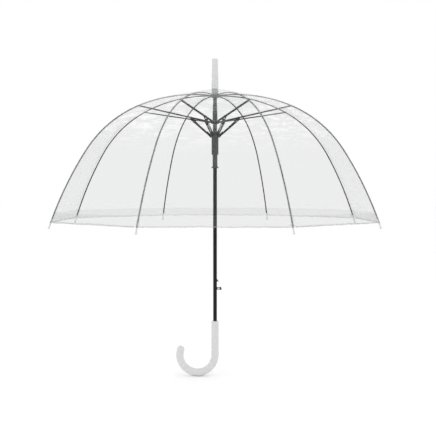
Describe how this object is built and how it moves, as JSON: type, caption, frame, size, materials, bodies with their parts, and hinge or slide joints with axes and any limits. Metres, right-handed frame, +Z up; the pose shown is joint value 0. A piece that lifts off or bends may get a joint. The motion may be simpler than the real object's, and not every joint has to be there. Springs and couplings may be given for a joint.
{
  "type": "stick umbrella",
  "caption": "Self-opening stick umbrella with a clear deep-dome canopy, crook handle, ribbed folding frame with runners, springs and a push-button catch.",
  "frame": {"origin": "under the lowest point of the crook, on the shaft's axis", "axes": "+Z up along the shaft, the crook bends towards -X, ribs start 22.5 degrees from +X"},
  "size_m": [0.8008, 0.8008, 0.83],
  "materials": {
    "shaft_lacquer": "black lacquered steel tube",
    "frame_lacquer": "black lacquered steel",
    "white_plastic": "smooth white moulded plastic",
    "dark_plastic": "dark grey moulded plastic",
    "hinge_wire": "bright drawn wire",
    "spring_steel": "dark drawn spring wire",
    "clear_film": "clear soft film, glossy"
  },
  "bodies": {
    "root": {"shaft": "shaft_lacquer", "handle": "white_plastic", "ferrule": "white_plastic", "crown": "dark_plastic", "crown_wire": "hinge_wire", "buffer_spring": "spring_steel", "stop_pin": "spring_steel", "canopy": "clear_film", "catch_spring": "spring_steel"},
    "rib_inner_1": {"rib_inner_1": "frame_lacquer"},
    "rib_outer_1": {"rib_outer_1": "frame_lacquer", "tip_1": "white_plastic"},
    "stretcher_1": {"stretcher_1": "frame_lacquer"},
    "link_1": {"link_1": "frame_lacquer"},
    "rib_inner_2": {"rib_inner_2": "frame_lacquer"},
    "rib_outer_2": {"rib_outer_2": "frame_lacquer", "tip_2": "white_plastic"},
    "stretcher_2": {"stretcher_2": "frame_lacquer"},
    "link_2": {"link_2": "frame_lacquer"},
    "rib_inner_3": {"rib_inner_3": "frame_lacquer"},
    "rib_outer_3": {"rib_outer_3": "frame_lacquer", "tip_3": "white_plastic"},
    "stretcher_3": {"stretcher_3": "frame_lacquer"},
    "link_3": {"link_3": "frame_lacquer"},
    "rib_inner_4": {"rib_inner_4": "frame_lacquer"},
    "rib_outer_4": {"rib_outer_4": "frame_lacquer", "tip_4": "white_plastic"},
    "stretcher_4": {"stretcher_4": "frame_lacquer"},
    "link_4": {"link_4": "frame_lacquer"},
    "rib_inner_5": {"rib_inner_5": "frame_lacquer"},
    "rib_outer_5": {"rib_outer_5": "frame_lacquer", "tip_5": "white_plastic"},
    "stretcher_5": {"stretcher_5": "frame_lacquer"},
    "link_5": {"link_5": "frame_lacquer"},
    "rib_inner_6": {"rib_inner_6": "frame_lacquer"},
    "rib_outer_6": {"rib_outer_6": "frame_lacquer", "tip_6": "white_plastic"},
    "stretcher_6": {"stretcher_6": "frame_lacquer"},
    "link_6": {"link_6": "frame_lacquer"},
    "rib_inner_7": {"rib_inner_7": "frame_lacquer"},
    "rib_outer_7": {"rib_outer_7": "frame_lacquer", "tip_7": "white_plastic"},
    "stretcher_7": {"stretcher_7": "frame_lacquer"},
    "link_7": {"link_7": "frame_lacquer"},
    "rib_inner_8": {"rib_inner_8": "frame_lacquer"},
    "rib_outer_8": {"rib_outer_8": "frame_lacquer", "tip_8": "white_plastic"},
    "stretcher_8": {"stretcher_8": "frame_lacquer"},
    "link_8": {"link_8": "frame_lacquer"},
    "upper_runner": {"upper_runner": "dark_plastic", "upper_runner_wire": "hinge_wire", "main_spring": "spring_steel"},
    "lower_runner": {"lower_runner": "dark_plastic", "lower_runner_wire": "hinge_wire"},
    "catch": {"catch": "dark_plastic"},
    "push_button": {"push_button": "dark_plastic"}
  },
  "joints": [
    {"name": "canopy_fold", "type": "hinge", "parent": "root", "child": "rib_inner_1", "pos_m": [0.00739, 0.00306, 0.735], "axis": [-0.3827, 0.9239, 0], "range_deg": [0, 78.1], "stiffness_Nm_per_rad": 2, "springref_deg": -45.84, "deforming": ["canopy"]},
    {"name": "rib_inner_2_hinge", "type": "hinge", "parent": "root", "child": "rib_inner_2", "pos_m": [0.00306, 0.00739, 0.735], "axis": [-0.9239, 0.3827, 0], "range_deg": [0, 78.1]},
    {"name": "rib_inner_3_hinge", "type": "hinge", "parent": "root", "child": "rib_inner_3", "pos_m": [-0.00306, 0.00739, 0.735], "axis": [-0.9239, -0.3827, 0], "range_deg": [0, 78.1]},
    {"name": "rib_inner_4_hinge", "type": "hinge", "parent": "root", "child": "rib_inner_4", "pos_m": [-0.00739, 0.00306, 0.735], "axis": [-0.3827, -0.9239, 0], "range_deg": [0, 78.1]},
    {"name": "rib_inner_5_hinge", "type": "hinge", "parent": "root", "child": "rib_inner_5", "pos_m": [-0.00739, -0.00306, 0.735], "axis": [0.3827, -0.9239, 0], "range_deg": [0, 78.1]},
    {"name": "rib_inner_6_hinge", "type": "hinge", "parent": "root", "child": "rib_inner_6", "pos_m": [-0.00306, -0.00739, 0.735], "axis": [0.9239, -0.3827, 0], "range_deg": [0, 78.1]},
    {"name": "rib_inner_7_hinge", "type": "hinge", "parent": "root", "child": "rib_inner_7", "pos_m": [0.00306, -0.00739, 0.735], "axis": [0.9239, 0.3827, 0], "range_deg": [0, 78.1]},
    {"name": "rib_inner_8_hinge", "type": "hinge", "parent": "root", "child": "rib_inner_8", "pos_m": [0.00739, -0.00306, 0.735], "axis": [0.3827, 0.9239, 0], "range_deg": [0, 78.1]},
    {"name": "rib_bend_1", "type": "hinge", "parent": "rib_inner_1", "child": "rib_outer_1", "pos_m": [0.19079, 0.07903, 0.70035], "axis": [-0.3827, 0.9239, 0], "range_deg": [-42.34, 0]},
    {"name": "clip_1", "type": "hinge", "parent": "rib_inner_1", "child": "stretcher_1", "pos_m": [0.19079, 0.07903, 0.70035], "axis": [-0.3827, 0.9239, 0], "range_deg": [-156.25, 0]},
    {"name": "link_hinge_1", "type": "hinge", "parent": "stretcher_1", "child": "link_1", "pos_m": [0.062, 0.02568, 0.67602], "axis": [-0.3827, 0.9239, 0], "range_deg": [0, 26.64]},
    {"name": "rib_bend_2", "type": "hinge", "parent": "rib_inner_2", "child": "rib_outer_2", "pos_m": [0.07903, 0.19079, 0.70035], "axis": [-0.9239, 0.3827, 0], "range_deg": [-42.34, 0]},
    {"name": "clip_2", "type": "hinge", "parent": "rib_inner_2", "child": "stretcher_2", "pos_m": [0.07903, 0.19079, 0.70035], "axis": [-0.9239, 0.3827, 0], "range_deg": [-156.25, 0]},
    {"name": "link_hinge_2", "type": "hinge", "parent": "stretcher_2", "child": "link_2", "pos_m": [0.02568, 0.062, 0.67602], "axis": [-0.9239, 0.3827, 0], "range_deg": [0, 26.64]},
    {"name": "rib_bend_3", "type": "hinge", "parent": "rib_inner_3", "child": "rib_outer_3", "pos_m": [-0.07903, 0.19079, 0.70035], "axis": [-0.9239, -0.3827, 0], "range_deg": [-42.34, 0]},
    {"name": "clip_3", "type": "hinge", "parent": "rib_inner_3", "child": "stretcher_3", "pos_m": [-0.07903, 0.19079, 0.70035], "axis": [-0.9239, -0.3827, 0], "range_deg": [-156.25, 0]},
    {"name": "link_hinge_3", "type": "hinge", "parent": "stretcher_3", "child": "link_3", "pos_m": [-0.02568, 0.062, 0.67602], "axis": [-0.9239, -0.3827, 0], "range_deg": [0, 26.64]},
    {"name": "rib_bend_4", "type": "hinge", "parent": "rib_inner_4", "child": "rib_outer_4", "pos_m": [-0.19079, 0.07903, 0.70035], "axis": [-0.3827, -0.9239, 0], "range_deg": [-42.34, 0]},
    {"name": "clip_4", "type": "hinge", "parent": "rib_inner_4", "child": "stretcher_4", "pos_m": [-0.19079, 0.07903, 0.70035], "axis": [-0.3827, -0.9239, 0], "range_deg": [-156.25, 0]},
    {"name": "link_hinge_4", "type": "hinge", "parent": "stretcher_4", "child": "link_4", "pos_m": [-0.062, 0.02568, 0.67602], "axis": [-0.3827, -0.9239, 0], "range_deg": [0, 26.64]},
    {"name": "rib_bend_5", "type": "hinge", "parent": "rib_inner_5", "child": "rib_outer_5", "pos_m": [-0.19079, -0.07903, 0.70035], "axis": [0.3827, -0.9239, 0], "range_deg": [-42.34, 0]},
    {"name": "clip_5", "type": "hinge", "parent": "rib_inner_5", "child": "stretcher_5", "pos_m": [-0.19079, -0.07903, 0.70035], "axis": [0.3827, -0.9239, 0], "range_deg": [-156.25, 0]},
    {"name": "link_hinge_5", "type": "hinge", "parent": "stretcher_5", "child": "link_5", "pos_m": [-0.062, -0.02568, 0.67602], "axis": [0.3827, -0.9239, 0], "range_deg": [0, 26.64]},
    {"name": "rib_bend_6", "type": "hinge", "parent": "rib_inner_6", "child": "rib_outer_6", "pos_m": [-0.07903, -0.19079, 0.70035], "axis": [0.9239, -0.3827, 0], "range_deg": [-42.34, 0]},
    {"name": "clip_6", "type": "hinge", "parent": "rib_inner_6", "child": "stretcher_6", "pos_m": [-0.07903, -0.19079, 0.70035], "axis": [0.9239, -0.3827, 0], "range_deg": [-156.25, 0]},
    {"name": "link_hinge_6", "type": "hinge", "parent": "stretcher_6", "child": "link_6", "pos_m": [-0.02568, -0.062, 0.67602], "axis": [0.9239, -0.3827, 0], "range_deg": [0, 26.64]},
    {"name": "rib_bend_7", "type": "hinge", "parent": "rib_inner_7", "child": "rib_outer_7", "pos_m": [0.07903, -0.19079, 0.70035], "axis": [0.9239, 0.3827, 0], "range_deg": [-42.34, 0]},
    {"name": "clip_7", "type": "hinge", "parent": "rib_inner_7", "child": "stretcher_7", "pos_m": [0.07903, -0.19079, 0.70035], "axis": [0.9239, 0.3827, 0], "range_deg": [-156.25, 0]},
    {"name": "link_hinge_7", "type": "hinge", "parent": "stretcher_7", "child": "link_7", "pos_m": [0.02568, -0.062, 0.67602], "axis": [0.9239, 0.3827, 0], "range_deg": [0, 26.64]},
    {"name": "rib_bend_8", "type": "hinge", "parent": "rib_inner_8", "child": "rib_outer_8", "pos_m": [0.19079, -0.07903, 0.70035], "axis": [0.3827, 0.9239, 0], "range_deg": [-42.34, 0]},
    {"name": "clip_8", "type": "hinge", "parent": "rib_inner_8", "child": "stretcher_8", "pos_m": [0.19079, -0.07903, 0.70035], "axis": [0.3827, 0.9239, 0], "range_deg": [-156.25, 0]},
    {"name": "link_hinge_8", "type": "hinge", "parent": "stretcher_8", "child": "link_8", "pos_m": [0.062, -0.02568, 0.67602], "axis": [0.3827, 0.9239, 0], "range_deg": [0, 26.64]},
    {"name": "upper_runner_hinge", "type": "hinge", "parent": "stretcher_1", "child": "upper_runner", "pos_m": [0.00739, 0.00306, 0.66571], "axis": [-0.3827, 0.9239, 0], "range_deg": [0, 78.15]},
    {"name": "lower_runner_slide", "type": "slide", "parent": "upper_runner", "child": "lower_runner", "axis": [0, 0, 1], "range_m": [0, 0.0236], "deforming": ["main_spring"]},
    {"name": "catch_slide", "type": "slide", "parent": "root", "child": "catch", "axis": [1, 0, 0], "range_m": [-0.0057, 0]},
    {"name": "push_button_slide", "type": "slide", "parent": "root", "child": "push_button", "axis": [1, 0, 0], "range_m": [-0.003, 0], "stiffness_N_per_m": 400, "springref_m": 0.001}
  ],
  "couplings": [
    {"joint": "rib_inner_2_hinge", "follows": "canopy_fold", "ratio": 1},
    {"joint": "rib_inner_3_hinge", "follows": "canopy_fold", "ratio": 1},
    {"joint": "rib_inner_4_hinge", "follows": "canopy_fold", "ratio": 1},
    {"joint": "rib_inner_5_hinge", "follows": "canopy_fold", "ratio": 1},
    {"joint": "rib_inner_6_hinge", "follows": "canopy_fold", "ratio": 1},
    {"joint": "rib_inner_7_hinge", "follows": "canopy_fold", "ratio": 1},
    {"joint": "rib_inner_8_hinge", "follows": "canopy_fold", "ratio": 1},
    {"joint": "rib_bend_1", "follows": "canopy_fold", "ratio": -0.54148},
    {"joint": "clip_1", "follows": "canopy_fold", "ratio": -2},
    {"joint": "link_hinge_1", "follows": "canopy_fold", "ratio": 0.34049},
    {"joint": "rib_bend_2", "follows": "canopy_fold", "ratio": -0.54148},
    {"joint": "clip_2", "follows": "canopy_fold", "ratio": -2},
    {"joint": "link_hinge_2", "follows": "canopy_fold", "ratio": 0.34049},
    {"joint": "rib_bend_3", "follows": "canopy_fold", "ratio": -0.54148},
    {"joint": "clip_3", "follows": "canopy_fold", "ratio": -2},
    {"joint": "link_hinge_3", "follows": "canopy_fold", "ratio": 0.34049},
    {"joint": "rib_bend_4", "follows": "canopy_fold", "ratio": -0.54148},
    {"joint": "clip_4", "follows": "canopy_fold", "ratio": -2},
    {"joint": "link_hinge_4", "follows": "canopy_fold", "ratio": 0.34049},
    {"joint": "rib_bend_5", "follows": "canopy_fold", "ratio": -0.54148},
    {"joint": "clip_5", "follows": "canopy_fold", "ratio": -2},
    {"joint": "link_hinge_5", "follows": "canopy_fold", "ratio": 0.34049},
    {"joint": "rib_bend_6", "follows": "canopy_fold", "ratio": -0.54148},
    {"joint": "clip_6", "follows": "canopy_fold", "ratio": -2},
    {"joint": "link_hinge_6", "follows": "canopy_fold", "ratio": 0.34049},
    {"joint": "rib_bend_7", "follows": "canopy_fold", "ratio": -0.54148},
    {"joint": "clip_7", "follows": "canopy_fold", "ratio": -2},
    {"joint": "link_hinge_7", "follows": "canopy_fold", "ratio": 0.34049},
    {"joint": "rib_bend_8", "follows": "canopy_fold", "ratio": -0.54148},
    {"joint": "clip_8", "follows": "canopy_fold", "ratio": -2},
    {"joint": "link_hinge_8", "follows": "canopy_fold", "ratio": 0.34049},
    {"joint": "upper_runner_hinge", "follows": "canopy_fold", "ratio": 1},
    {"joint": "lower_runner_slide", "follows": "canopy_fold", "m_per_rad": 0.01724},
    {"joint": "catch_slide", "follows": "canopy_fold", "m_per_rad": -0.0041083}
  ]
}
